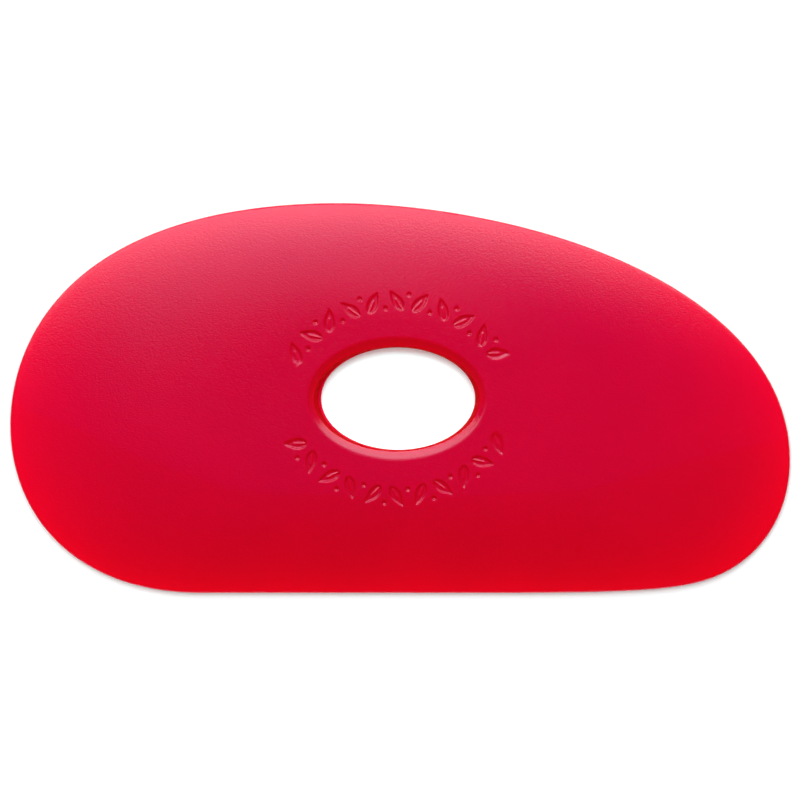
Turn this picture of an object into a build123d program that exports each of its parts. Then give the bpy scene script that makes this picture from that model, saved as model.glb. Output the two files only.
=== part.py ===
from build123d import *

import os
from math import radians, tan

# Large pottery rib for shaping bowls: one moulded slab of soft polyurethane.
#
# The front is a low crown. It is thickest round the finger hole and thins towards a working edge
# that has the same thickness all the way round, which is what lets the rib bend to a bowl. The
# back is flat and its edge is crisp, as it leaves the mould. The outline has one straight edge, and
# one long sweeping edge between a full end and a tight end. The walls of the finger hole lean back
# towards the front, where it opens in a broad bevel with a rounded outer rim. At the back it has a
# thin moulding ledge, which is broader at the full end.
#
# X runs along the flat edge, from the full end to the tight end, Y from the flat edge to the
# crest, and Z out of the front. The origin is the middle of the length and width, on the back.
# Lengths are in millimetres.

# Overall sizes
rib_length = 190.0
rib_width = 95.0
crown_thickness = 6.5
edge_thickness = 1.6

# Places on the outline where it runs level or upright
full_end_height = 40.8  # the furthest point of the full end, above the flat edge
tight_end_height = 32.5  # the furthest point of the tight end, above the flat edge
crest_setback = 15.0  # top of the sweeping edge, left of the middle
flat_left_reach = 47.5  # the flat edge, left of the middle
flat_right_reach = 23.0  # the flat edge, right of the middle

# How each quarter of the outline bends between two such places. The first two shares say how far
# it runs straight at its start and end. The last two draw its middle in from the square corner,
# back towards the start and towards the end.
full_shoulder_shares = (0.25, 0.46, 0.18, 0.07)
sweep_shares = (0.30, 0.36, 0.16, 0.18)
tight_heel_shares = (0.87, 0.79, 0.07, 0.37)
full_heel_shares = (0.18, 0.48, 0.25, 0.0)

# Finger hole, at its narrowest, which is the opening through the ledge
hole_length = 37.5
hole_width = 24.9
hole_setback = 0.48  # middle of that opening, left of the rib's
hole_drop = 0.15  # and below it
ledge_height = 0.9
ledge_width = 0.8  # at its broadest, at the full end
ledge_least_width = 0.1
end_draft_angle = 9.0  # how far the wall leans back towards the front at the hole's ends
side_draft_angle = 1.0  # and at its sides
bevel_height = 1.05
bevel_end_width = 1.2
bevel_side_width = 2.1
rim_radius = 2.0  # outside the bevel

# Crown
crown_land = 1.0  # level strip between the rim and the start of the slope
crown_power = 2.2  # how late its slope sets in: a cone would be 1
crown_sections = 8

# Round of the working edge, on the front
edge_radius = 0.5
widest_round_share = 0.6  # of the edge's thickness, at most

overrun = 1.0  # of the cuts

# The outline's places, from the middle of the length and width
full_end = Vector(-rib_length / 2, full_end_height - rib_width / 2)
tight_end = Vector(rib_length / 2, tight_end_height - rib_width / 2)
crest = Vector(-crest_setback, rib_width / 2)
flat_left = Vector(-flat_left_reach, -rib_width / 2)
flat_right = Vector(flat_right_reach, -rib_width / 2)

# The wall starts at the ledge, which is broader at one end, so the wall's middle is set off from
# that of the opening
ledge_shift = (ledge_width - ledge_least_width) / 2
opening_middle = Vector(-hole_setback, -hole_drop)
hole_middle = opening_middle - Vector(ledge_shift, 0)

# Half sizes of the hole: of its opening, of the foot and top of its wall, and of the bevel's outside
wall_height = crown_thickness - bevel_height - ledge_height
wall_spread = Vector(wall_height * tan(radians(end_draft_angle)), wall_height * tan(radians(side_draft_angle)))
bevel_spread = Vector(bevel_end_width, bevel_side_width)
opening_reach = Vector(hole_length / 2, hole_width / 2)
foot_reach = opening_reach + Vector(ledge_least_width + ledge_shift, ledge_least_width)
crease_reach = foot_reach + wall_spread
bevel_reach = crease_reach + bevel_spread

# The level part of the crown is a copy of the outline, drawn in towards the hole's middle, that
# clears the rim all round
rim_margin = rim_radius + crown_land
level_share = 2 * max((bevel_reach.X + rim_margin) / rib_length, (bevel_reach.Y + rim_margin) / rib_width)
crown_rise = crown_thickness - edge_thickness

edge_round = min(edge_radius, edge_thickness * widest_round_share)


def drawn_in(point, size_share):
    """A point of the outline, or the same point of a smaller copy about the hole's middle."""
    return hole_middle + (point - hole_middle) * size_share


def quarter(start, corner, end, bend_shares, size_share):
    """One quarter of the outline, which leaves start and reaches end along the corner's sides."""
    straight_at_start, straight_at_end, back_to_start, on_to_end = bend_shares
    to_start = start - corner
    to_end = end - corner
    points = (
        start,
        start - to_start * straight_at_start,
        corner + to_start * back_to_start + to_end * on_to_end,
        end - to_end * straight_at_end,
        end,
    )
    Bezier(*[drawn_in(point, size_share) for point in points])


def trace_outline(size_share=1):
    """The rib's outline, or a smaller copy of it about the hole's middle."""
    quarter(full_end, Vector(full_end.X, crest.Y), crest, full_shoulder_shares, size_share)
    quarter(crest, Vector(tight_end.X, crest.Y), tight_end, sweep_shares, size_share)
    quarter(tight_end, Vector(tight_end.X, flat_right.Y), flat_right, tight_heel_shares, size_share)
    Line(drawn_in(flat_right, size_share), drawn_in(flat_left, size_share))
    quarter(flat_left, Vector(full_end.X, flat_left.Y), full_end, full_heel_shares, size_share)


def hole_oval(reach, middle):
    """An oval of the finger hole, by its half sizes."""
    with Locations(middle):
        Ellipse(reach.X, reach.Y)


with BuildPart() as rib_body:
    # Slab as thick as the working edge
    with BuildSketch():
        with BuildLine():
            trace_outline()
        make_face()
    extrude(amount=edge_thickness)

    # Crown, through smaller and smaller copies of the outline, rising ever less up to the level part
    for section in range(crown_sections + 1):
        inward_share = section / crown_sections
        rise_share = 1 - (1 - inward_share) ** crown_power
        with BuildSketch(Plane.XY.offset(edge_thickness + crown_rise * rise_share)):
            with BuildLine():
                trace_outline(1 - inward_share * (1 - level_share))
            make_face()
    loft()

    # Opening through the ledge, then the leaning wall and the bevel, each cut on past its upper end
    with BuildSketch(Plane.XY.offset(-overrun)):
        hole_oval(opening_reach, opening_middle)
    extrude(amount=overrun + ledge_height + overrun, mode=Mode.SUBTRACT)
    for base, height, foot, spread in (
        (ledge_height, wall_height, foot_reach, wall_spread),
        (ledge_height + wall_height, bevel_height, crease_reach, bevel_spread),
    ):
        with BuildSketch(Plane.XY.offset(base)):
            hole_oval(foot, hole_middle)
        with BuildSketch(Plane.XY.offset(base + height + overrun)):
            hole_oval(foot + spread * ((height + overrun) / height), hole_middle)
        loft(mode=Mode.SUBTRACT)

    # Rounds outside the bevel and along the working edge
    front = rib_body.faces().sort_by(Axis.Z)[-1]
    fillet(front.inner_wires().edges(), rim_radius)
    edge_top = rib_body.edges().filter_by_position(Axis.Z, edge_thickness, edge_thickness)
    fillet(edge_top, edge_round)

rib_body.part.label = "rib_body"
os.makedirs("parts", exist_ok=True)
export_step(rib_body.part, "parts/rib_body.step")
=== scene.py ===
import math

import bpy
import numpy as np
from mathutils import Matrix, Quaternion, Vector


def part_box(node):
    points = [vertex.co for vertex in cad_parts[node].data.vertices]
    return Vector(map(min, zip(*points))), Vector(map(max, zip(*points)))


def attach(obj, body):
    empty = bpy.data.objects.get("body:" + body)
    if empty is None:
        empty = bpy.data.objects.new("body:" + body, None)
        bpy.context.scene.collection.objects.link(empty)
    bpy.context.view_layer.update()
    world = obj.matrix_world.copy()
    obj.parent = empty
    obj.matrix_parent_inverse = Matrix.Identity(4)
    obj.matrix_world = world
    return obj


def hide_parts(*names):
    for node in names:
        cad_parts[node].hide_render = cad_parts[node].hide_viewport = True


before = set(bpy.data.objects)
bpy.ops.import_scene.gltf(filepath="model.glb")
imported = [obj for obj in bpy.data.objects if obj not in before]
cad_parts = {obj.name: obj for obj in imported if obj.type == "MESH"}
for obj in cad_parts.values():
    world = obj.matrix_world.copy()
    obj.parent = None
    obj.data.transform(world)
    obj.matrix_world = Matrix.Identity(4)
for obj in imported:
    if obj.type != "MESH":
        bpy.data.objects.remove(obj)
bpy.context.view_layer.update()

# A large red pottery rib, lying on its flat back. Metres, with +Z out of its front.
mm = 0.001
low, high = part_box("rib_body")
print("frame loaded")


# Node helpers

def feed(tree, socket, value):
    # a value is another node's output, or a plain number, vector or name
    if isinstance(value, bpy.types.NodeSocket):
        tree.links.new(value, socket)
    else:
        socket.default_value = value


def addNode(tree, kind, feeds=None, **settings):
    node = tree.nodes.new(kind)
    for name, value in settings.items():
        setattr(node, name, value)
    for name, value in (feeds or {}).items():
        feed(tree, node.inputs[name], value)
    return node


def calc(tree, operation, *values):
    feeds = dict(enumerate(values))
    return addNode(tree, "ShaderNodeMath", feeds, operation=operation).outputs[0]


def times(tree, product, *factors):
    for factor in factors:
        product = calc(tree, "MULTIPLY", product, factor)
    return product


def vectorCalc(tree, operation, *values):
    feeds = dict(enumerate(values))
    node = addNode(tree, "ShaderNodeVectorMath", feeds, operation=operation)
    return node.outputs["Value" if operation == "LENGTH" else "Vector"]


def vectorTimes(tree, vector, number):
    feeds = {"Vector": vector, "Scale": number}
    return addNode(tree, "ShaderNodeVectorMath", feeds, operation="SCALE").outputs["Vector"]


def combine(tree, x=0, y=0, z=0):
    return addNode(tree, "ShaderNodeCombineXYZ", {"X": x, "Y": y, "Z": z}).outputs["Vector"]


def remap(tree, value, fromRange, toRange, kind="LINEAR"):
    feeds = {
        "Value": value,
        "From Min": fromRange[0],
        "From Max": fromRange[1],
        "To Min": toRange[0],
        "To Max": toRange[1],
    }
    return addNode(tree, "ShaderNodeMapRange", feeds, interpolation_type=kind).outputs["Result"]


def noise(tree, place, scale, detail):
    feeds = {"Vector": place, "Scale": scale, "Detail": detail}
    return addNode(tree, "ShaderNodeTexNoise", feeds, noise_dimensions="3D").outputs["Fac"]


# Outline and finger hole, as the CAD part has them

ribShape = {
    "fullEndHeight": 40.8 * mm,  # furthest point of the full end, above the flat edge
    "tightEndHeight": 32.5 * mm,  # furthest point of the tight end, above the flat edge
    "crestSetback": 15.0 * mm,  # top of the sweeping edge, left of the middle
    "flatLeftReach": 47.5 * mm,
    "flatRightReach": 23.0 * mm,
    # how each quarter bends: straight at its start and end, and its middle drawn back and on
    "fullShoulder": (0.25, 0.46, 0.18, 0.07),
    "sweep": (0.30, 0.36, 0.16, 0.18),
    "tightHeel": (0.87, 0.79, 0.07, 0.37),
    "fullHeel": (0.18, 0.48, 0.25, 0.0),
    "quarterSteps": 500,
    "flatSteps": 400,
    "edgeThickness": 1.6 * mm,
    "edgeRound": 0.5 * mm,
    "backRound": 0.12 * mm,
    "crownLand": 1.0 * mm,  # level strip between the rim and the start of the slope
    "crownPower": 2.2,  # how late the slope sets in
}

fingerHole = {
    "length": 37.5 * mm,  # of the opening through the ledge
    "width": 24.9 * mm,
    "setback": 0.48 * mm,  # middle of that opening, left of the rib's middle
    "drop": 0.15 * mm,  # and below it
    "ledgeHeight": 0.9 * mm,
    "ledgeWidth": 0.8 * mm,  # at its broadest, at the full end
    "ledgeLeast": 0.1 * mm,
    "ledgeRound": 0.3 * mm,
    "ledgeLeanShare": 0.4,  # how far the ledge's round leans over towards the wall's oval
    "footRound": 0.04 * mm,  # between the ledge and the wall
    "endDraft": math.radians(9.0),  # how far the wall leans back at the hole's ends
    "sideDraft": math.radians(1.0),
    "bevelHeight": 1.05 * mm,
    "bevelEndWidth": 1.2 * mm,
    "bevelSideWidth": 2.1 * mm,
    "creaseRound": 0.12 * mm,  # between the wall and the bevel
    "rimRadius": 2.0 * mm,  # outside the bevel
    "glow": 2.4 * mm,  # thickness taken off near the hole, so that the bevel gets painted light from the hole's wall
}

crownThickness = high.z - low.z
wallTop = crownThickness - fingerHole["bevelHeight"]
wallHeight = wallTop - fingerHole["ledgeHeight"]

# the ledge is broader at one end, so the middle of the wall and rim is set off from the opening's
ledgeShift = (fingerHole["ledgeWidth"] - fingerHole["ledgeLeast"]) / 2
holeMiddle = Vector((-fingerHole["setback"] - ledgeShift, -fingerHole["drop"], 0))

# half sizes of the hole at the foot of its wall, and how far the ledge, wall and rim change them
ledgeInset = Vector((fingerHole["ledgeLeast"] + ledgeShift, fingerHole["ledgeLeast"], 0))
wallFoot = Vector((fingerHole["length"] / 2, fingerHole["width"] / 2, 0)) + ledgeInset
draftSlopes = Vector((math.tan(fingerHole["endDraft"]), math.tan(fingerHole["sideDraft"]), 0))
wallSpread = draftSlopes * wallHeight
bevelSpread = Vector((fingerHole["bevelEndWidth"], fingerHole["bevelSideWidth"], 0))


def rimTangent(width):
    # how far the outer round reaches beyond the corner that it takes off
    slope = math.atan(fingerHole["bevelHeight"] / width)
    return fingerHole["rimRadius"] * math.tan(slope / 2)


rimSpread = bevelSpread + Vector((rimTangent(bevelSpread.x), rimTangent(bevelSpread.y), 0))
levelReach = wallFoot + wallSpread + bevelSpread
levelMargin = fingerHole["rimRadius"] + ribShape["crownLand"]
levelShare = 2 * max(
    (levelReach.x + levelMargin) / (high.x - low.x),
    (levelReach.y + levelMargin) / (high.y - low.y),
)


def quarterPoints(start, end, corner, bend):
    # a quarter leaves its start and reaches its end along the corner's sides
    straightStart, straightEnd, backToStart, onToEnd = bend
    toStart, toEnd = start - corner, end - corner
    handles = (
        start,
        start - toStart * straightStart,
        corner + toStart * backToStart + toEnd * onToEnd,
        end - toEnd * straightEnd,
        end,
    )
    order = len(handles) - 1
    points = []
    for step in range(ribShape["quarterSteps"]):
        along = step / ribShape["quarterSteps"]
        point = Vector((0, 0))
        for index, handle in enumerate(handles):
            weight = math.comb(order, index) * along**index * (1 - along)**(order - index)
            point += handle * weight
        points.append(point)
    return points


def outlinePoints():
    # the quarters run clockwise, as in the CAD part, and the list is turned round at the end
    left, right, bottom, top = low.x, high.x, low.y, high.y
    fullEnd = Vector((left, bottom + ribShape["fullEndHeight"]))
    crest = Vector((-ribShape["crestSetback"], top))
    tightEnd = Vector((right, bottom + ribShape["tightEndHeight"]))
    flatRight = Vector((ribShape["flatRightReach"], bottom))
    flatLeft = Vector((-ribShape["flatLeftReach"], bottom))
    flatSteps = ribShape["flatSteps"]
    points = quarterPoints(fullEnd, crest, Vector((left, top)), ribShape["fullShoulder"])
    points += quarterPoints(crest, tightEnd, Vector((right, top)), ribShape["sweep"])
    points += quarterPoints(tightEnd, flatRight, Vector((right, bottom)), ribShape["tightHeel"])
    points += [flatRight.lerp(flatLeft, step / flatSteps) for step in range(flatSteps)]
    points += quarterPoints(flatLeft, fullEnd, Vector((left, bottom)), ribShape["fullHeel"])
    return np.array([tuple(point) for point in reversed(points)])


# Guides: where the skin's rays run, and the section that is swept round them

skinMesh = {
    "rays": 760,
    "crowding": 3.2,  # rays stand this much closer over the garlands
    "crowdedSpread": math.radians(66.0),  # each way from the top and bottom
    "crowdedFade": 0.2,  # radians over which the rays spread out again
    "angleSamples": 7201,  # round the turn, to work the crowding out
    "crowdedRows": 44,
    "crowdedFrom": 2.7 * mm,  # how far outside the rim the close rows start and end
    "crowdedTo": 11.7 * mm,
    "fineSteps": 6,  # of the rounds that show most
    "smallSteps": 3,
    "rimSteps": 8,
    # places of the other rows along their stretches, in the order of the section
    "backShares": (0, 0.004, 0.02, 0.08, 0.2, 0.35, 0.5, 0.65, 0.8, 0.92, 0.98, 0.996, 1),
    "wallShares": (0.2, 0.4, 0.6, 0.8, 1),
    "creaseShares": (0.3, 0.6, 0.8, 1),
    "bevelShares": (0.08, 0.2, 0.4, 0.6, 0.75),
    "landShares": (0.2, 0.5),
    "slopeShares": (
        0.03, 0.07, 0.12, 0.18, 0.25, 0.33, 0.41, 0.49, 0.57, 0.65, 0.73, 0.8, 0.86, 0.91, 0.95, 0.98,
    ),
    "glossShare": 0.9,  # faces with less of the gloss value than this are matt
    "weld": 0.001 * mm,
}

sectionColumns = (
    "height",  # over the back, before the crown lifts it
    "ovalShare",  # 1 on the hole's oval and 0 on the outline
    "widening",  # of that oval
    "inset",  # from the outline
    "ledge",  # how much the ledge, the wall and the rim change the oval
    "wall",
    "rim",
    "crown",  # 1 where the crown lifts it
    "gloss",
)


def makeGuide(name, count, columns):
    # a row of points that only carries named values for the skin's tree to read
    mesh = bpy.data.meshes.new(name)
    mesh.from_pydata([(index * mm, 0, 0) for index in range(count)], [], [])
    for column, values in columns.items():
        values = np.asarray(values, float)
        if values.ndim == 2:
            attribute = mesh.attributes.new(column, "FLOAT_VECTOR", "POINT")
            attribute.data.foreach_set("vector", values.ravel())
        else:
            attribute = mesh.attributes.new(column, "FLOAT", "POINT")
            attribute.data.foreach_set("value", values)
    guide = bpy.data.objects.new(name, mesh)
    bpy.context.scene.collection.objects.link(guide)
    return guide


def makeRayGuide():
    # rays from the hole's middle: direction, distance to the outline and how slantwise they meet it
    outline = outlinePoints() - np.array(holeMiddle)[:2]
    angles = np.unwrap(np.arctan2(outline[:, 1], outline[:, 0]))
    reaches = np.hypot(outline[:, 0], outline[:, 1])
    tangent = np.roll(outline, -1, 0) - np.roll(outline, 1, 0)
    tangent /= np.linalg.norm(tangent, axis=1)[:, None]
    meeting = np.cos(np.arctan2(-tangent[:, 0], tangent[:, 1]) - angles)

    # the rays crowd together over the garlands
    fine = np.linspace(-np.pi, np.pi, skinMesh["angleSamples"])
    fromPath = np.minimum(abs(fine - np.pi / 2), abs(fine + np.pi / 2))
    fadeStart = skinMesh["crowdedSpread"] + skinMesh["crowdedFade"] / 2
    fade = np.clip((fadeStart - fromPath) / skinMesh["crowdedFade"], 0, 1)
    crowd = 1 + (skinMesh["crowding"] - 1) * fade
    passed = np.concatenate([[0], np.cumsum((crowd[1:] + crowd[:-1]) / 2)])
    wanted = np.interp(np.arange(skinMesh["rays"]) / skinMesh["rays"], passed / passed[-1], fine)

    turn = 2 * np.pi
    order = np.argsort(np.mod(angles, turn))

    def onRays(values):
        known = np.mod(angles, turn)[order]
        return np.interp(np.mod(wanted, turn), known, values[order], period=turn)

    return makeGuide("rayGuide", skinMesh["rays"], {
        "ray": np.stack([np.cos(wanted), np.sin(wanted), np.zeros_like(wanted)], 1),
        "reach": onRays(reaches),
        "slant": 1 / onRays(meeting),
    })


def quarterTurn(steps):
    return [math.pi / 2 * step / steps for step in range(steps + 1)]


def sectionRows():
    # the slab's section along one ray: across the back to the hole, up its wall and out over the front
    rows = []

    def row(height, ovalShare, widening=0, inset=0, ledge=0, wall=0, rim=0, crown=0, gloss=0):
        gloss = max(gloss, crown)
        rows.append((height, ovalShare, widening, inset, ledge, wall, rim, crown, gloss))

    # flat back, from the working edge in to the hole
    back = ribShape["backRound"]
    for share in skinMesh["backShares"]:
        row(0, share, widening=back, inset=back * (1 - share), ledge=1)
    # back rim and the opening through the ledge
    for angle in quarterTurn(skinMesh["smallSteps"])[1:]:
        row(back * (1 - math.cos(angle)), 1, widening=back * (1 - math.sin(angle)), ledge=1)
    ledgeRound = fingerHole["ledgeRound"]
    ledgeTop = fingerHole["ledgeHeight"]
    row((back + ledgeTop - ledgeRound) / 2, 1, ledge=1)
    # the opening's middle and half sizes blend into the wall's, so that the round stays on the ledge
    for angle in quarterTurn(skinMesh["fineSteps"]):
        row(
            ledgeTop - ledgeRound * (1 - math.sin(angle)), 1,
            ledge=1 - fingerHole["ledgeLeanShare"] * (1 - math.cos(angle)), gloss=1,
        )
    # top of the ledge, then the leaning wall
    footRound = fingerHole["footRound"]
    for angle in quarterTurn(skinMesh["smallSteps"]):
        row(
            ledgeTop + footRound * (1 - math.cos(angle)), 1,
            widening=footRound * (math.sin(angle) - 1), gloss=1 if angle == 0 else 0,
        )
    crease = fingerHole["creaseRound"]
    for share in skinMesh["wallShares"]:
        height = ledgeTop + footRound + (wallHeight - crease - footRound) * share
        row(height, 1, wall=(height - ledgeTop) / wallHeight)
    # soft crease, bevel and outer round, up to the level part of the crown
    depth, width = fingerHole["bevelHeight"], fingerHole["bevelSideWidth"]
    slope = math.atan(depth / width)
    for along in skinMesh["creaseShares"]:
        below, beyond = crease * (1 - along) ** 2, crease * along ** 2
        row(
            wallTop - below + beyond * math.sin(slope), 1,
            wall=1 - below / wallHeight, rim=beyond * math.cos(slope) / rimSpread.y,
        )
    edge = ribShape["edgeThickness"]
    for share in skinMesh["bevelShares"]:
        row(edge - depth * (1 - share), 1, wall=1, rim=width * share / rimSpread.y, crown=1)
    radius = fingerHole["rimRadius"]
    rimSteps = skinMesh["rimSteps"]
    for step in range(rimSteps + 1):
        tilt = slope * (1 - step / rimSteps)
        inward = radius * math.sin(tilt) / rimSpread.y
        row(edge - radius * (1 - math.cos(tilt)), 1, wall=1, rim=1 - inward, crown=1)
    # out over the garlands in close rows, and on to the working edge
    start, end = skinMesh["crowdedFrom"], skinMesh["crowdedTo"]
    for share in skinMesh["landShares"]:
        row(edge, 1, widening=start * share, wall=1, rim=1, crown=1)
    for index in range(skinMesh["crowdedRows"]):
        further = start + (end - start) * index / (skinMesh["crowdedRows"] - 1)
        row(edge, 1, widening=further, wall=1, rim=1, crown=1)
    rounded = ribShape["edgeRound"]
    for share in skinMesh["slopeShares"]:
        row(edge, 1 - share, widening=end, inset=rounded * share, wall=1, rim=1, crown=1)
    # rounded edge, side and back edge
    for angle in reversed(quarterTurn(skinMesh["fineSteps"])):
        row(edge - rounded * (1 - math.sin(angle)), 0, inset=rounded * (1 - math.cos(angle)), crown=1)
    row((edge - rounded + back) / 2, 0)
    for angle in reversed(quarterTurn(skinMesh["smallSteps"])[1:]):
        row(back * (1 - math.cos(angle)), 0, inset=back * (1 - math.sin(angle)))
    return rows


def makeSectionGuide():
    named = dict(zip(sectionColumns, zip(*sectionRows())))
    return makeGuide("sectionGuide", len(named["height"]), named)


def storeValue(tree, geometry, name, value):
    feeds = {"Geometry": geometry, "Name": name, "Value": value}
    node = addNode(tree, "GeometryNodeStoreNamedAttribute", feeds, data_type="FLOAT", domain="POINT")
    return node.outputs["Geometry"]


def readValue(tree, name, dataType="FLOAT"):
    node = addNode(tree, "GeometryNodeInputNamedAttribute", {"Name": name}, data_type=dataType)
    return node.outputs["Attribute"]


def readGuide(tree, guideGeometry, name, index, dataType="FLOAT"):
    feeds = {"Geometry": guideGeometry, "Value": readValue(tree, name, dataType), "Index": index}
    node = addNode(tree, "GeometryNodeSampleIndex", feeds, data_type=dataType, domain="POINT")
    return node.outputs["Value"]


# Stamped leaf garlands, one above the hole and one below

garland = {
    "leaves": 11,
    "pathRadius": 29.8 * mm,
    "pathDrop": 6.2 * mm,  # middle of the upper path, below the hole's
    "spread": math.radians(55.0),  # each way from the top
    "leafLength": 5.4 * mm,
    "leafHalfBreadth": 1.15 * mm,
    "leafTilt": math.radians(33.0),
    "leafSkewPower": 0.72,  # less than 1 brings the broadest place nearer the stem
    "leafFullPower": 0.9,  # less than 1 fills the leaf out
    "spinePoints": 41,
    "seedHalfBreadth": 0.42 * mm,
    "seedOffShare": 0.62,  # how far a seed stands off the path, in half lengths of a leaf
    "shoulder": 0.52 * mm,  # breadth of the stamp's sloping sides
    "depth": 0.42 * mm,
    "veinShare": 0.62,  # of the leaf's length, from the stem
    "veinHalfBreadth": 0.16 * mm,
    "veinFlankShares": (0.4, 2),  # where the vein's flank starts and ends, in its half breadths
    "veinHeight": 0.22 * mm,
}


def addStamps(tree, inputs, index, halfLength):
    # points along the spine of a leaf, and one in a seed, that carry the stamp's half breadth there
    spine = addNode(tree, "GeometryNodeMeshLine", {
        "Count": garland["spinePoints"],
        "Start Location": combine(tree, y=times(tree, halfLength, -1)),
        "Offset": combine(tree, y=halfLength),
    }, mode="END_POINTS", count_mode="TOTAL")
    along = calc(tree, "DIVIDE", index, garland["spinePoints"] - 1)
    skewed = calc(tree, "POWER", along, garland["leafSkewPower"])
    swell = calc(tree, "MAXIMUM", calc(tree, "SINE", times(tree, skewed, math.pi)), 0)
    full = calc(tree, "POWER", swell, garland["leafFullPower"])
    breadth = times(tree, inputs["Leaf Half Breadth"], full)
    leaf = storeValue(tree, spine.outputs["Mesh"], "breadth", breadth)
    leaf = storeValue(tree, leaf, "vein", calc(tree, "LESS_THAN", along, garland["veinShare"]))

    dot = addNode(
        tree, "GeometryNodeMeshLine", {"Count": 1, "Start Location": (0, 0, 0)},
        mode="END_POINTS", count_mode="TOTAL",
    )
    seed = storeValue(tree, dot.outputs["Mesh"], "breadth", inputs["Seed Half Breadth"])
    seed = storeValue(tree, seed, "vein", 0)
    return leaf, seed


def addGarlands(tree, inputs):
    index = addNode(tree, "GeometryNodeInputIndex").outputs["Index"]
    halfLength = calc(tree, "DIVIDE", inputs["Leaf Length"], 2)
    leaf, seed = addStamps(tree, inputs, index, halfLength)
    gaps = calc(tree, "SUBTRACT", inputs["Leaves"], 1)
    pitch = calc(tree, "DIVIDE", times(tree, inputs["Spread"], 2), gaps)

    # leaves tilt to either side by turns, and seeds between them stand to either side of the path
    side = calc(tree, "SUBTRACT", times(tree, calc(tree, "MODULO", index, 2), 2), 1)
    leafTilt = times(tree, side, inputs["Leaf Tilt"])
    seedOff = times(tree, halfLength, garland["seedOffShare"], side)
    upper = addNode(tree, "GeometryNodeJoinGeometry")
    for stamp, count, gapShare, tilt, off in (
        (leaf, inputs["Leaves"], 0, leafTilt, 0),
        (seed, gaps, 0.5, 0, seedOff),
    ):
        passed = times(tree, calc(tree, "ADD", index, gapShare), pitch)
        turn = calc(tree, "SUBTRACT", inputs["Spread"], passed)  # anticlockwise from straight up
        radius = calc(tree, "ADD", inputs["Path Radius"], off)
        x = times(tree, calc(tree, "SINE", turn), radius, -1)
        y = calc(tree, "SUBTRACT", times(tree, calc(tree, "COSINE", turn), radius), inputs["Path Drop"])
        points = addNode(tree, "GeometryNodePoints", {"Count": count, "Position": combine(tree, x, y)})
        stamps = addNode(tree, "GeometryNodeInstanceOnPoints", {
            "Points": points.outputs["Points"],
            "Instance": stamp,
            "Rotation": combine(tree, z=calc(tree, "ADD", turn, tilt)),
        })
        tree.links.new(stamps.outputs["Instances"], upper.inputs["Geometry"])

    # the lower garland is the upper one turned half round the hole
    both = addNode(tree, "GeometryNodeJoinGeometry")
    for halfTurn in (0, math.pi):
        move = addNode(tree, "GeometryNodeTransform", {
            "Geometry": upper.outputs["Geometry"],
            "Rotation": (0, 0, halfTurn),
            "Translation": inputs["Hole Middle"],
        })
        tree.links.new(move.outputs["Geometry"], both.inputs["Geometry"])
    feeds = {"Geometry": both.outputs["Geometry"]}
    return addNode(tree, "GeometryNodeRealizeInstances", feeds).outputs["Geometry"]


# Skin of the slab

ribInputs = {
    "Ray Guide": ("NodeSocketObject", None),
    "Section Guide": ("NodeSocketObject", None),
    "Rays": ("NodeSocketInt", skinMesh["rays"]),
    "Rows": ("NodeSocketInt", 0),
    "Hole Middle": ("NodeSocketVector", tuple(holeMiddle)),
    "Wall Foot": ("NodeSocketVector", tuple(wallFoot)),
    "Ledge Inset": ("NodeSocketVector", tuple(ledgeInset)),
    "Ledge Shift": ("NodeSocketFloat", ledgeShift),
    "Wall Spread": ("NodeSocketVector", tuple(wallSpread)),
    "Rim Spread": ("NodeSocketVector", tuple(rimSpread)),
    "Crown Rise": ("NodeSocketFloat", crownThickness - ribShape["edgeThickness"]),
    "Crown Power": ("NodeSocketFloat", ribShape["crownPower"]),
    "Level Share": ("NodeSocketFloat", levelShare),
    "Leaves": ("NodeSocketInt", garland["leaves"]),
    "Path Radius": ("NodeSocketFloat", garland["pathRadius"]),
    "Path Drop": ("NodeSocketFloat", garland["pathDrop"]),
    "Spread": ("NodeSocketFloat", garland["spread"]),
    "Leaf Length": ("NodeSocketFloat", garland["leafLength"]),
    "Leaf Half Breadth": ("NodeSocketFloat", garland["leafHalfBreadth"]),
    "Leaf Tilt": ("NodeSocketFloat", garland["leafTilt"]),
    "Seed Half Breadth": ("NodeSocketFloat", garland["seedHalfBreadth"]),
    "Shoulder": ("NodeSocketFloat", garland["shoulder"]),
    "Depth": ("NodeSocketFloat", garland["depth"]),
    "Vein Half Breadth": ("NodeSocketFloat", garland["veinHalfBreadth"]),
    "Vein Height": ("NodeSocketFloat", garland["veinHeight"]),
    "Hole Glow": ("NodeSocketFloat", fingerHole["glow"]),
    "Front Material": ("NodeSocketMaterial", None),
    "Wall Material": ("NodeSocketMaterial", None),
}


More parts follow.
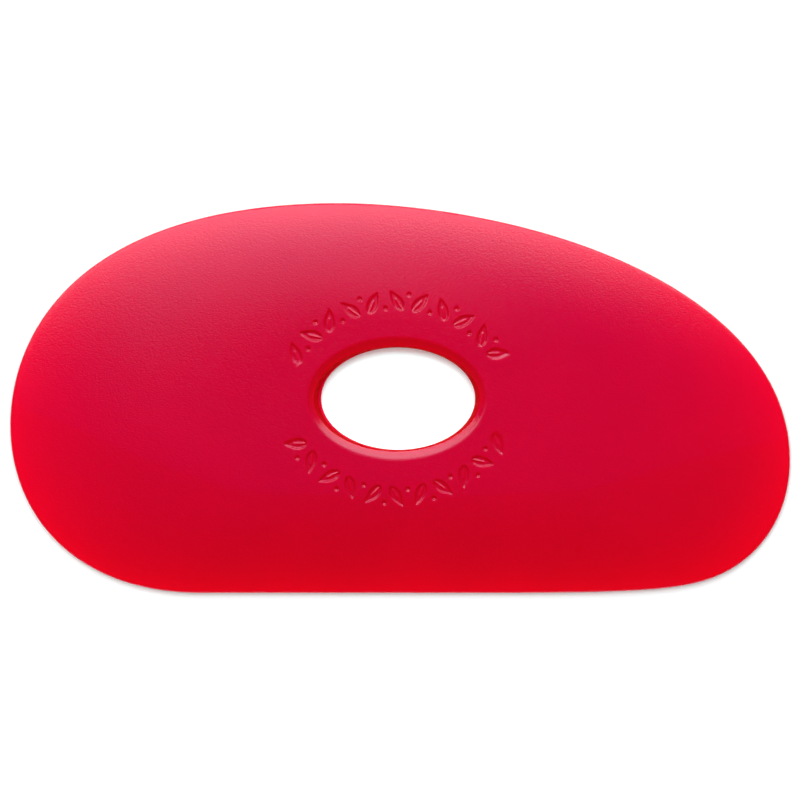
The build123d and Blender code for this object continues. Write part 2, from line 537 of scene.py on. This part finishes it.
def sweepSection(tree, inputs):
    # sweeps the section round the rays, from outline to hole and back
    guides = {}
    for name in ("Ray Guide", "Section Guide"):
        feeds = {"Object": inputs[name]}
        info = addNode(tree, "GeometryNodeObjectInfo", feeds, transform_space="ORIGINAL")
        guides[name] = info.outputs["Geometry"]

    # a sheet with one column for each ray and one row for each place on the section, and one more
    # of each that closes it on itself
    columns = calc(tree, "ADD", inputs["Rays"], 1)
    rows = calc(tree, "ADD", inputs["Rows"], 1)
    sheet = addNode(tree, "GeometryNodeMeshGrid", {"Vertices X": columns, "Vertices Y": rows})
    index = addNode(tree, "GeometryNodeInputIndex").outputs["Index"]
    safeIndex = calc(tree, "ADD", index, 0.5)  # clear of rounding at a whole number of rows
    column = calc(tree, "FLOOR", calc(tree, "DIVIDE", safeIndex, rows))
    column = calc(tree, "MODULO", column, inputs["Rays"])
    row = calc(tree, "MODULO", calc(tree, "FLOORED_MODULO", index, rows), inputs["Rows"])
    ray = readGuide(tree, guides["Ray Guide"], "ray", column, "FLOAT_VECTOR")
    reach = readGuide(tree, guides["Ray Guide"], "reach", column)
    slant = readGuide(tree, guides["Ray Guide"], "slant", column)
    section = {name: readGuide(tree, guides["Section Guide"], name, row) for name in sectionColumns}

    # distance out along the ray, between the outline and the hole's oval as the section changes it
    oval = inputs["Wall Foot"]
    for operation, spread, share in (
        ("ADD", (1, 1, 0), section["widening"]),
        ("SUBTRACT", inputs["Ledge Inset"], section["ledge"]),
        ("ADD", inputs["Wall Spread"], section["wall"]),
        ("ADD", inputs["Rim Spread"], section["rim"]),
    ):
        oval = vectorCalc(tree, operation, oval, vectorTimes(tree, spread, share))
    ovalStretch = vectorCalc(tree, "LENGTH", vectorCalc(tree, "DIVIDE", ray, oval))
    toOval = calc(tree, "DIVIDE", 1, ovalStretch)
    toEdge = calc(tree, "SUBTRACT", reach, times(tree, section["inset"], slant))
    edgeShare = calc(tree, "SUBTRACT", 1, section["ovalShare"])
    out = calc(
        tree, "ADD",
        times(tree, toOval, section["ovalShare"]), times(tree, toEdge, edgeShare),
    )

    # crown law: level near the hole, then falling ever more steeply to the working edge
    outShare = calc(tree, "DIVIDE", out, reach)
    downSlope = remap(tree, outShare, (inputs["Level Share"], 1), (0, 1))
    fall = calc(tree, "POWER", downSlope, inputs["Crown Power"])
    rise = times(tree, inputs["Crown Rise"], calc(tree, "SUBTRACT", 1, fall))
    height = calc(tree, "ADD", section["height"], times(tree, rise, section["crown"]))

    flat = vectorCalc(tree, "ADD", vectorTimes(tree, ray, out), inputs["Hole Middle"])
    shift = times(tree, section["ledge"], section["ovalShare"], inputs["Ledge Shift"])
    shape = addNode(tree, "GeometryNodeSetPosition", {
        "Geometry": sheet.outputs["Mesh"],
        "Position": vectorCalc(tree, "ADD", flat, combine(tree, x=shift, z=height)),
    })

    # how thick the slab is under each point of its front, which the painted glow follows; near the hole
    # it counts thinner, so that the bevel gets painted light from the hole's wall as bright as a
    # thinner place
    paintedHoleLight = times(tree, calc(tree, "SUBTRACT", 1, section["rim"]), inputs["Hole Glow"])
    skin = storeValue(tree, shape.outputs["Geometry"], "wall", calc(tree, "SUBTRACT", height, paintedHoleLight))
    skin = storeValue(tree, skin, "front", section["crown"])
    skin = storeValue(tree, skin, "gloss", section["gloss"])
    feeds = {"Geometry": skin, "Distance": skinMesh["weld"]}
    return addNode(tree, "GeometryNodeMergeByDistance", feeds).outputs["Geometry"]


def stampGarlands(tree, skin, inputs):
    # flat-bottomed leaves and seeds with sloping sides, and a vein left standing in each leaf
    marks = addGarlands(tree, inputs)
    position = addNode(tree, "GeometryNodeInputPosition").outputs["Position"]
    onPlan = vectorCalc(tree, "MULTIPLY", position, (1, 1, 0))
    feeds = {"Geometry": marks, "Sample Position": onPlan}
    closest = addNode(tree, "GeometryNodeSampleNearest", feeds, domain="POINT").outputs["Index"]
    breadth = readGuide(tree, marks, "breadth", closest)
    veined = readGuide(tree, marks, "vein", closest)
    feeds = {0: marks, "Sample Position": onPlan}
    near = addNode(tree, "GeometryNodeProximity", feeds, target_element="POINTS")
    apart = near.outputs["Distance"]

    halfShoulder = calc(tree, "DIVIDE", inputs["Shoulder"], 2)
    shoulders = (times(tree, halfShoulder, -1), halfShoulder)
    beyond = calc(tree, "SUBTRACT", apart, breadth)
    sunk = remap(tree, beyond, shoulders, (1, 0), kind="SMOOTHERSTEP")
    flank = [times(tree, inputs["Vein Half Breadth"], share) for share in garland["veinFlankShares"]]
    ridge = remap(tree, apart, flank, (1, 0), kind="SMOOTHERSTEP")
    ridge = times(tree, ridge, veined, inputs["Vein Height"])
    depth = times(tree, sunk, calc(tree, "SUBTRACT", inputs["Depth"], ridge))
    down = combine(tree, z=times(tree, depth, -1, readValue(tree, "front")))
    feeds = {"Geometry": skin, "Offset": down}
    return addNode(tree, "GeometryNodeSetPosition", feeds).outputs["Geometry"]


def makeRibTree():
    tree = bpy.data.node_groups.new("ribSkin", "GeometryNodeTree")
    for inOut in ("OUTPUT", "INPUT"):
        tree.interface.new_socket("Geometry", in_out=inOut, socket_type="NodeSocketGeometry")
    for name, (kind, value) in ribInputs.items():
        socket = tree.interface.new_socket(name, in_out="INPUT", socket_type=kind)
        if value is not None:
            socket.default_value = value
    start = addNode(tree, "NodeGroupInput")
    inputs = {name: start.outputs[name] for name in ribInputs}

    skin = stampGarlands(tree, sweepSection(tree, inputs), inputs)
    smooth = addNode(tree, "GeometryNodeSetShadeSmooth", {"Geometry": skin})
    feeds = {"Geometry": smooth.outputs["Geometry"]}
    realized = addNode(tree, "GeometryNodeRealizeInstances", feeds)
    front = addNode(tree, "GeometryNodeSetMaterial", {
        "Geometry": realized.outputs["Geometry"],
        "Material": inputs["Front Material"],
    })
    # hole's wall, side and back
    matt = addNode(tree, "GeometryNodeSetMaterial", {
        "Geometry": front.outputs["Geometry"],
        "Selection": calc(tree, "LESS_THAN", readValue(tree, "gloss"), skinMesh["glossShare"]),
        "Material": inputs["Wall Material"],
    })
    addNode(tree, "NodeGroupOutput", {"Geometry": matt.outputs["Geometry"]})
    return tree


# Red polyurethane, with a coat on the front and matt on the hole's wall, the side and the back, and a
# painted glow where the slab is thin

polyurethane = {
    # the thin colour is painted light: the glow of lamp light passing through a thin slab and back off
    # the floor beneath
    "thinGlowColor": (0.96, 0.0, 0.004),
    "thickColor": (0.6, 0.0, 0.004),
    "fullGlowWall": 1.6 * mm,  # wall thickness at which the painted glow is full
    "fade": 2.3 * mm,  # how fast the painted glow fades as the slab thickens
    "roughness": 0.55,
    "specular": 0.9,
    "specularTint": (0.2, 0.0, 0.95, 1),
    "coatWeight": 1.0,
    "coatIor": 1.6,
    "coatRoughness": 0.05,
    "sideGlowShare": 0.15,  # share of the painted glow where it is matt
    "wallRoughness": 0.9,
    "wallSpecular": 0.03,
    "scatterWeight": 0.5,
    "scatterRadius": (1.0, 0.1, 0.15),
    "scatterScale": 1.5 * mm,
    "grainSize": (0.52 * mm, 0.35 * mm, 0.35 * mm),
    "grainDepth": 0.054 * mm,
    "grainDetail": 2,
    "cloudSize": 22 * mm,
    "cloudDetail": 3,
    "cloudRange": (0.3, 0.7),  # of the noise
    "cloudShare": 0.05,  # how much the darkest cloud takes off
}


def makePolyurethane(name, glossy):
    material = bpy.data.materials.new(name)
    material.use_nodes = True
    tree = material.node_tree
    shader = tree.nodes["Principled BSDF"]
    place = addNode(tree, "ShaderNodeTexCoord").outputs["Object"]

    # painted glow: brighter where the front is thin, standing in for light through the slab and back
    # off the floor, and one even share of that glow on the side and in the hole; faint clouds
    glowShare = polyurethane["sideGlowShare"]
    if glossy:
        wall = addNode(tree, "ShaderNodeAttribute", attribute_name="wall").outputs["Fac"]
        thinner = calc(tree, "SUBTRACT", polyurethane["fullGlowWall"], wall)
        glowShare = calc(tree, "EXPONENT", calc(tree, "DIVIDE", thinner, polyurethane["fade"]))
    color = addNode(tree, "ShaderNodeMix", {
        "Factor": glowShare,
        "A": (*polyurethane["thickColor"], 1),
        "B": (*polyurethane["thinGlowColor"], 1),
    }, data_type="RGBA")
    cloud = noise(tree, place, 1 / polyurethane["cloudSize"], polyurethane["cloudDetail"])
    shade = remap(tree, cloud, polyurethane["cloudRange"], (1 - polyurethane["cloudShare"], 1))
    feed(tree, shader.inputs["Base Color"], vectorTimes(tree, color.outputs["Result"], shade))

    grained = vectorCalc(tree, "DIVIDE", place, polyurethane["grainSize"])
    bump = addNode(tree, "ShaderNodeBump", {
        "Distance": polyurethane["grainDepth"],
        "Height": noise(tree, grained, 1, polyurethane["grainDetail"]),
    })
    finish = {
        "Subsurface Weight": polyurethane["scatterWeight"],
        "Subsurface Radius": polyurethane["scatterRadius"],
        "Subsurface Scale": polyurethane["scatterScale"],
        "Normal": bump.outputs["Normal"],
    }
    if glossy:
        finish.update({
            "Roughness": polyurethane["roughness"],
            "Specular IOR Level": polyurethane["specular"],
            "Specular Tint": polyurethane["specularTint"],
            "Coat Weight": polyurethane["coatWeight"],
            "Coat IOR": polyurethane["coatIor"],
            "Coat Roughness": polyurethane["coatRoughness"],
            "Coat Normal": bump.outputs["Normal"],
        })
    else:
        finish.update({
            "Roughness": polyurethane["wallRoughness"],
            "Specular IOR Level": polyurethane["wallSpecular"],
        })
    for socketName, value in finish.items():
        feed(tree, shader.inputs[socketName], value)
    print("material made:", name)
    return material


def makeRib():
    guides = {"Ray Guide": makeRayGuide(), "Section Guide": makeSectionGuide()}
    rib = bpy.data.objects.new("ribSlab", bpy.data.meshes.new("ribSeed"))
    bpy.context.scene.collection.objects.link(rib)
    skin = rib.modifiers.new("ribSkin", "NODES")
    skin.node_group = makeRibTree()
    settings = {
        **guides,
        "Rows": len(guides["Section Guide"].data.vertices),
        "Front Material": makePolyurethane("redPolyurethane", True),
        "Wall Material": makePolyurethane("redPolyurethaneMatt", False),
    }
    for item in skin.node_group.interface.items_tree:
        if item.item_type == "SOCKET" and item.in_out == "INPUT" and item.name in settings:
            skin[item.identifier] = settings[item.name]
    evaluated = rib.evaluated_get(bpy.context.evaluated_depsgraph_get())
    mesh = bpy.data.meshes.new_from_object(evaluated)
    rib.modifiers.remove(skin)
    rib.data = mesh
    mesh.name = "ribSlab"
    for guide in guides.values():
        bpy.data.objects.remove(guide)
    triangles = sum(len(face.vertices) - 2 for face in mesh.polygons)
    print("rib slab:", len(mesh.vertices), "points,", triangles, "triangles")
    return rib


rib = makeRib()
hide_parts("rib_body")
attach(rib, "root")


# Floor, lights and camera

studio = {
    "floorSize": 3.0,
    "floorDrop": 0.1 * mm,
    "floorColor": (0.88, 0.9, 0.9),
    "seenFloorColor": (1.02, 1.08, 1.08),  # to the camera and in gloss, so that it clears to white
    "holeLift": 0.45,  # light of the floor's own in the hole, where the wall keeps the lamps off
    "holeLiftColor": (0.6, 1.0, 1.0, 1),  # against the red that the wall throws on the floor
    "holeLiftDrop": 1.25 * mm,  # middle of that light, below the opening's
    "holeLiftReach": (20.2 * mm, 13.4 * mm),  # half sizes of its oval
    "holeLiftFade": 0.146,  # outer share of the oval over which it fades
    "windowRise": 6.5,  # how fast the window's light grows from its upper edge down
    "windowLevel": 2.7,  # and the even level that it grows to
    "worldStrength": 0.026,
}

softboxes = {
    # place, size, roll in degrees, watts, and whether it shows in gloss; each points at the origin
    "ceilingBox": ((0.03, 0.22, 1.1), (1.5, 1.0), 0, 10.5, False),
    "leftBox": ((-0.3, 0.1, 0.75), (0.5, 0.5), 0, 0.5, False),
    "frontBox": ((0, -0.85, 0.31), (0.6, 0.3), 0, 1.9, False),
    "stripBox": ((-0.155, 0.31, 0.935), (0.49, 0.32), -17, 0.2, True),
    "windowBox": ((0, 0.616, 0.788), (2.0, 0.84), 12, 5.28, True),
}

view = {
    # straight down, as in the photo
    "middle": (-0.03 * mm, -0.48 * mm),
    "lens": 100.0,
    "sensor": 36.0,
    "seenWidth": 195.28 * mm,  # at the level of the rib's back
    "clipStart": 0.01,
}


def makeFloor():
    half = studio["floorSize"] / 2
    z = low.z - studio["floorDrop"]
    corners = [(-half, -half, z), (half, -half, z), (half, half, z), (-half, half, z)]
    mesh = bpy.data.meshes.new("floor")
    mesh.from_pydata(corners, [], [(0, 1, 2, 3)])
    floor = bpy.data.objects.new("floor", mesh)
    bpy.context.scene.collection.objects.link(floor)
    material = bpy.data.materials.new("paleFloor")
    material.use_nodes = True
    tree = material.node_tree
    tree.nodes.remove(tree.nodes["Principled BSDF"])

    rays = addNode(tree, "ShaderNodeLightPath").outputs
    mirrored = calc(tree, "MAXIMUM", rays["Is Glossy Ray"], rays["Is Transmission Ray"])
    seen = calc(tree, "MAXIMUM", rays["Is Camera Ray"], mirrored)
    color = addNode(tree, "ShaderNodeMix", {
        "Factor": seen,
        "A": (*studio["floorColor"], 1),
        "B": (*studio["seenFloorColor"], 1),
    }, data_type="RGBA")
    matt = addNode(tree, "ShaderNodeBsdfDiffuse", {"Color": color.outputs["Result"]})

    # an oval patch of the floor's own light in the hole, seen but lighting nothing
    place = addNode(tree, "ShaderNodeTexCoord").outputs["Object"]
    middle = (-fingerHole["setback"], -fingerHole["drop"] - studio["holeLiftDrop"], z)
    fromMiddle = vectorCalc(tree, "SUBTRACT", place, middle)
    ovalPlace = vectorCalc(tree, "DIVIDE", fromMiddle, (*studio["holeLiftReach"], 1))
    outShare = vectorCalc(tree, "LENGTH", ovalPlace)
    border = (1 - studio["holeLiftFade"], 1)
    inHole = remap(tree, outShare, border, (studio["holeLift"], 0), kind="SMOOTHSTEP")
    glow = addNode(tree, "ShaderNodeEmission", {
        "Color": studio["holeLiftColor"],
        "Strength": times(tree, seen, inHole),
    })
    both = addNode(tree, "ShaderNodeAddShader", {
        0: matt.outputs["BSDF"],
        1: glow.outputs["Emission"],
    })
    tree.links.new(both.outputs["Shader"], tree.nodes["Material Output"].inputs["Surface"])
    mesh.materials.append(material)


def gradeWindow(light):
    # the window is dark along its upper edge, and grows to one level further down
    light.use_nodes = True
    tree = light.node_tree
    spot = addNode(tree, "ShaderNodeNewGeometry").outputs["Parametric"]
    up = addNode(tree, "ShaderNodeSeparateXYZ", {"Vector": spot}).outputs["Y"]
    down = calc(tree, "SUBTRACT", 1, up)
    growth = times(tree, calc(tree, "POWER", down, 2), studio["windowRise"])
    strength = calc(tree, "MINIMUM", growth, studio["windowLevel"])
    tree.links.new(strength, tree.nodes["Emission"].inputs["Strength"])


def makeLights():
    for name, (place, size, roll, watts, inGloss) in softboxes.items():
        light = bpy.data.lights.new(name, "AREA")
        light.shape = "RECTANGLE"
        light.size, light.size_y = size
        light.energy = watts
        if name == "windowBox":
            gradeWindow(light)
        lamp = bpy.data.objects.new(name, light)
        lamp.location = place
        lamp.visible_glossy = inGloss
        turn = (-Vector(place)).to_track_quat("-Z", "Y")
        lamp.rotation_euler = (turn @ Quaternion((0, 0, 1), math.radians(roll))).to_euler()
        bpy.context.scene.collection.objects.link(lamp)
    world = bpy.data.worlds.new("studio")
    bpy.context.scene.world = world
    world.use_nodes = True
    background = world.node_tree.nodes["Background"]
    background.inputs["Color"].default_value = (1, 1, 1, 1)
    background.inputs["Strength"].default_value = studio["worldStrength"]


def makeCamera():
    camera = bpy.data.cameras.new("camera")
    camera.lens = view["lens"]
    camera.sensor_width = view["sensor"]
    camera.clip_start = view["clipStart"]
    eye = bpy.data.objects.new("camera", camera)
    distance = view["seenWidth"] * view["lens"] / view["sensor"]
    eye.location = (*view["middle"], distance)
    bpy.context.scene.collection.objects.link(eye)
    bpy.context.scene.camera = eye


makeFloor()
makeLights()
makeCamera()
bpy.context.scene.view_settings.view_transform = "Standard"
print("studio ready")
